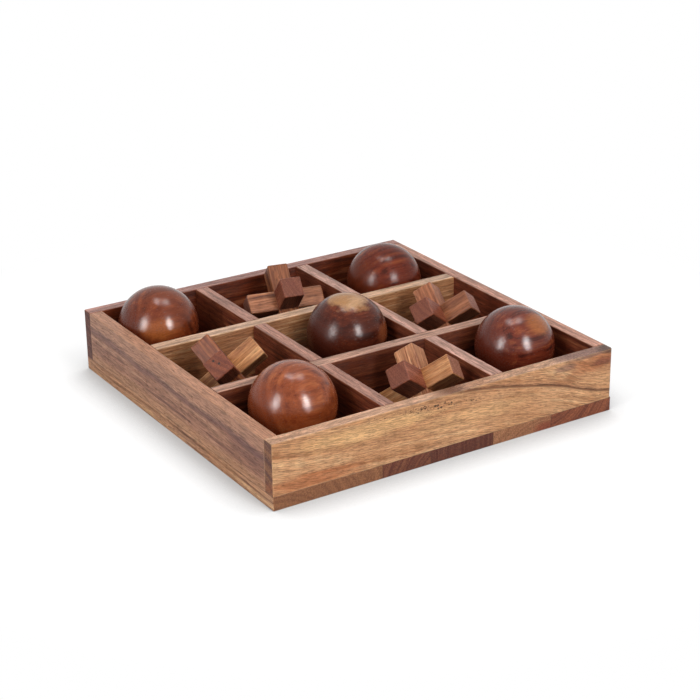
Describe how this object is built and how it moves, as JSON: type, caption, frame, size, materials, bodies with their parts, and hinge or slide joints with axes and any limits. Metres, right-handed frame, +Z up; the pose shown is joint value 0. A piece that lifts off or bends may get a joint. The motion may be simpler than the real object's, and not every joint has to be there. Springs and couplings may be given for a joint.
{
  "type": "tic-tac-toe game",
  "caption": "Square wooden tray parted into open cells by a halved lattice, holding loose turned balls and crossed-stick jacks that lift out as playing pieces.",
  "frame": {"origin": "centre of the tray's underside", "axes": "+Z up, +X along the front board to the right, +Y from the front board to the back board"},
  "size_m": [0.3, 0.3, 0.0765],
  "materials": {
    "tan_board": "satin",
    "brown_board": "satin",
    "pale_divider": "satin",
    "rosy_divider": "satin",
    "base_stave": "satin",
    "turned_ball": "satin",
    "golden_stick": "satin",
    "red_brown_stick": "satin",
    "tan_stick": "satin"
  },
  "bodies": {
    "tray": {"base_stave_1": "base_stave", "base_stave_2": "base_stave", "base_stave_3": "base_stave", "base_stave_4": "base_stave", "base_stave_5": "base_stave", "divider_over_back": "pale_divider", "divider_over_front": "pale_divider", "divider_under_left": "rosy_divider", "divider_under_right": "rosy_divider", "wall_back": "tan_board", "wall_front": "tan_board", "wall_left": "brown_board", "wall_right": "brown_board"},
    "ball_back_left_piece": {"ball_back_left": "turned_ball"},
    "ball_back_right_piece": {"ball_back_right": "turned_ball"},
    "ball_centre_piece": {"ball_centre": "turned_ball"},
    "ball_front_left_piece": {"ball_front_left": "turned_ball"},
    "ball_front_right_piece": {"ball_front_right": "turned_ball"},
    "jack_left_piece": {"jack_left_stick_over": "tan_stick", "jack_left_stick_under": "golden_stick", "jack_left_stub_lower": "red_brown_stick", "jack_left_stub_upper": "red_brown_stick"},
    "jack_front_piece": {"jack_front_stick_over": "tan_stick", "jack_front_stick_under": "golden_stick", "jack_front_stub_lower": "red_brown_stick", "jack_front_stub_upper": "red_brown_stick"},
    "jack_right_piece": {"jack_right_stick_over": "tan_stick", "jack_right_stick_under": "golden_stick", "jack_right_stub_lower": "red_brown_stick", "jack_right_stub_upper": "red_brown_stick"},
    "jack_back_piece": {"jack_back_stick_over": "tan_stick", "jack_back_stick_under": "golden_stick", "jack_back_stub_lower": "red_brown_stick", "jack_back_stub_upper": "red_brown_stick"}
  },
  "joints": [
    {"name": "ball_back_left_lift", "type": "slide", "parent": "tray", "child": "ball_back_left_piece", "axis": [0, 0, 1], "range_m": [0, 0.07]},
    {"name": "ball_back_right_lift", "type": "slide", "parent": "tray", "child": "ball_back_right_piece", "axis": [0, 0, 1], "range_m": [0, 0.07]},
    {"name": "ball_centre_lift", "type": "slide", "parent": "tray", "child": "ball_centre_piece", "axis": [0, 0, 1], "range_m": [0, 0.07]},
    {"name": "ball_front_left_lift", "type": "slide", "parent": "tray", "child": "ball_front_left_piece", "axis": [0, 0, 1], "range_m": [0, 0.07]},
    {"name": "ball_front_right_lift", "type": "slide", "parent": "tray", "child": "ball_front_right_piece", "axis": [0, 0, 1], "range_m": [0, 0.07]},
    {"name": "jack_left_lift", "type": "slide", "parent": "tray", "child": "jack_left_piece", "axis": [0, 0, 1], "range_m": [0, 0.07]},
    {"name": "jack_front_lift", "type": "slide", "parent": "tray", "child": "jack_front_piece", "axis": [0, 0, 1], "range_m": [0, 0.07]},
    {"name": "jack_right_lift", "type": "slide", "parent": "tray", "child": "jack_right_piece", "axis": [0, 0, 1], "range_m": [0, 0.07]},
    {"name": "jack_back_lift", "type": "slide", "parent": "tray", "child": "jack_back_piece", "axis": [0, 0, 1], "range_m": [0, 0.07]}
  ]
}
